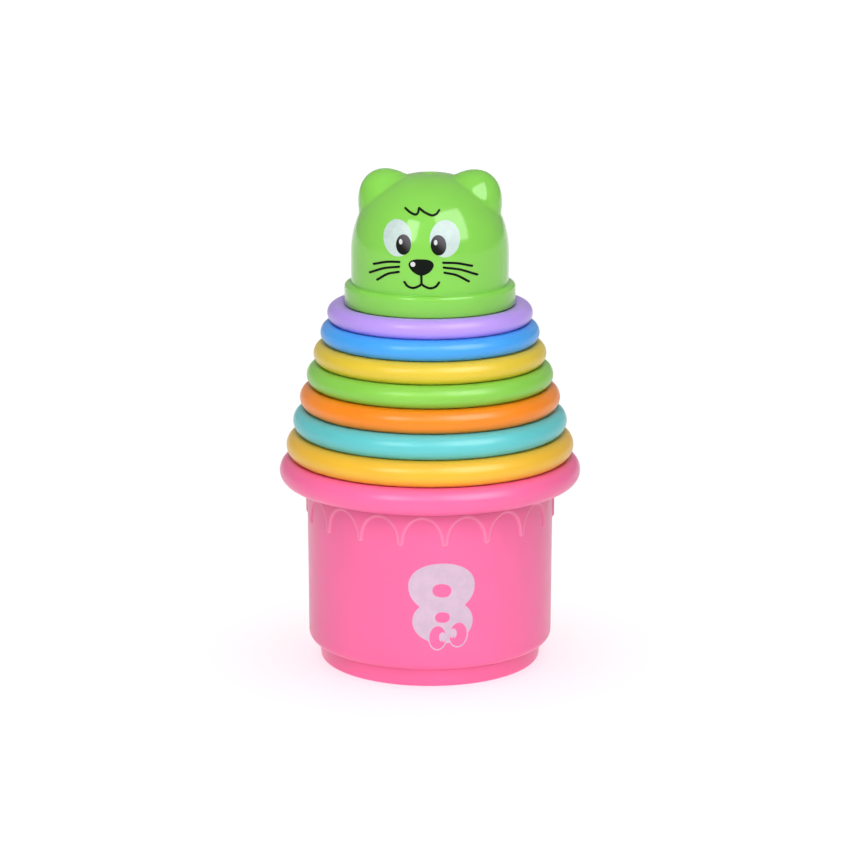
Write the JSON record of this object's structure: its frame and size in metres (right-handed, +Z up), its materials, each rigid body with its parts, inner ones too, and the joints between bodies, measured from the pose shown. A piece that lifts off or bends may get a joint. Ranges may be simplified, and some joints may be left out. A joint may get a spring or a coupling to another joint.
{
  "type": "stacking cup tower",
  "caption": "Nest of round stacking cups with thick rolled rims that lift out one by one, closed on top by a hollow cat's-head cap.",
  "frame": {"origin": "middle of the base of the largest cup, on the surface that it stands on", "axes": "+Z up along the common axis of the cups; the cat's face looks towards -Y, turned 5.4 degrees towards -X"},
  "size_m": [0.108, 0.108, 0.1777],
  "materials": {
    "pink_plastic": "smooth glossy moulded plastic",
    "amber_plastic": "smooth glossy moulded plastic",
    "teal_plastic": "smooth glossy moulded plastic",
    "orange_plastic": "smooth glossy moulded plastic",
    "green_plastic": "smooth glossy moulded plastic",
    "yellow_plastic": "smooth glossy moulded plastic",
    "blue_plastic": "smooth glossy moulded plastic",
    "lilac_plastic": "smooth glossy moulded plastic",
    "leaf_green_plastic": "smooth glossy moulded plastic",
    "white_ink": "thin glossy pad-printed ink",
    "black_ink": "thin glossy pad-printed ink",
    "numeral_ink": "thin pale pad-printed ink, slightly see-through"
  },
  "bodies": {
    "cup_8": {"cup_8": "pink_plastic"},
    "cup_7": {"cup_7": "amber_plastic"},
    "cup_6": {"cup_6": "teal_plastic"},
    "cup_5": {"cup_5": "orange_plastic"},
    "cup_4": {"cup_4": "green_plastic"},
    "cup_3": {"cup_3": "yellow_plastic"},
    "cup_2": {"cup_2": "blue_plastic"},
    "cup_1": {"cup_1": "lilac_plastic"},
    "cat_head": {"cat_head": "leaf_green_plastic"}
  },
  "joints": [
    {"name": "cup_7_lift", "type": "slide", "parent": "cup_8", "child": "cup_7", "axis": [0, 0, 1], "range_m": [0, 0.077]},
    {"name": "cup_6_lift", "type": "slide", "parent": "cup_7", "child": "cup_6", "axis": [0, 0, 1], "range_m": [0, 0.074]},
    {"name": "cup_5_lift", "type": "slide", "parent": "cup_6", "child": "cup_5", "axis": [0, 0, 1], "range_m": [0, 0.07]},
    {"name": "cup_4_lift", "type": "slide", "parent": "cup_5", "child": "cup_4", "axis": [0, 0, 1], "range_m": [0, 0.067]},
    {"name": "cup_3_lift", "type": "slide", "parent": "cup_4", "child": "cup_3", "axis": [0, 0, 1], "range_m": [0, 0.064]},
    {"name": "cup_2_lift", "type": "slide", "parent": "cup_3", "child": "cup_2", "axis": [0, 0, 1], "range_m": [0, 0.061]},
    {"name": "cup_1_lift", "type": "slide", "parent": "cup_2", "child": "cup_1", "axis": [0, 0, 1], "range_m": [0, 0.058]},
    {"name": "cat_head_lift", "type": "slide", "parent": "cup_1", "child": "cat_head", "axis": [0, 0, 1], "range_m": [0, 0.02]}
  ]
}
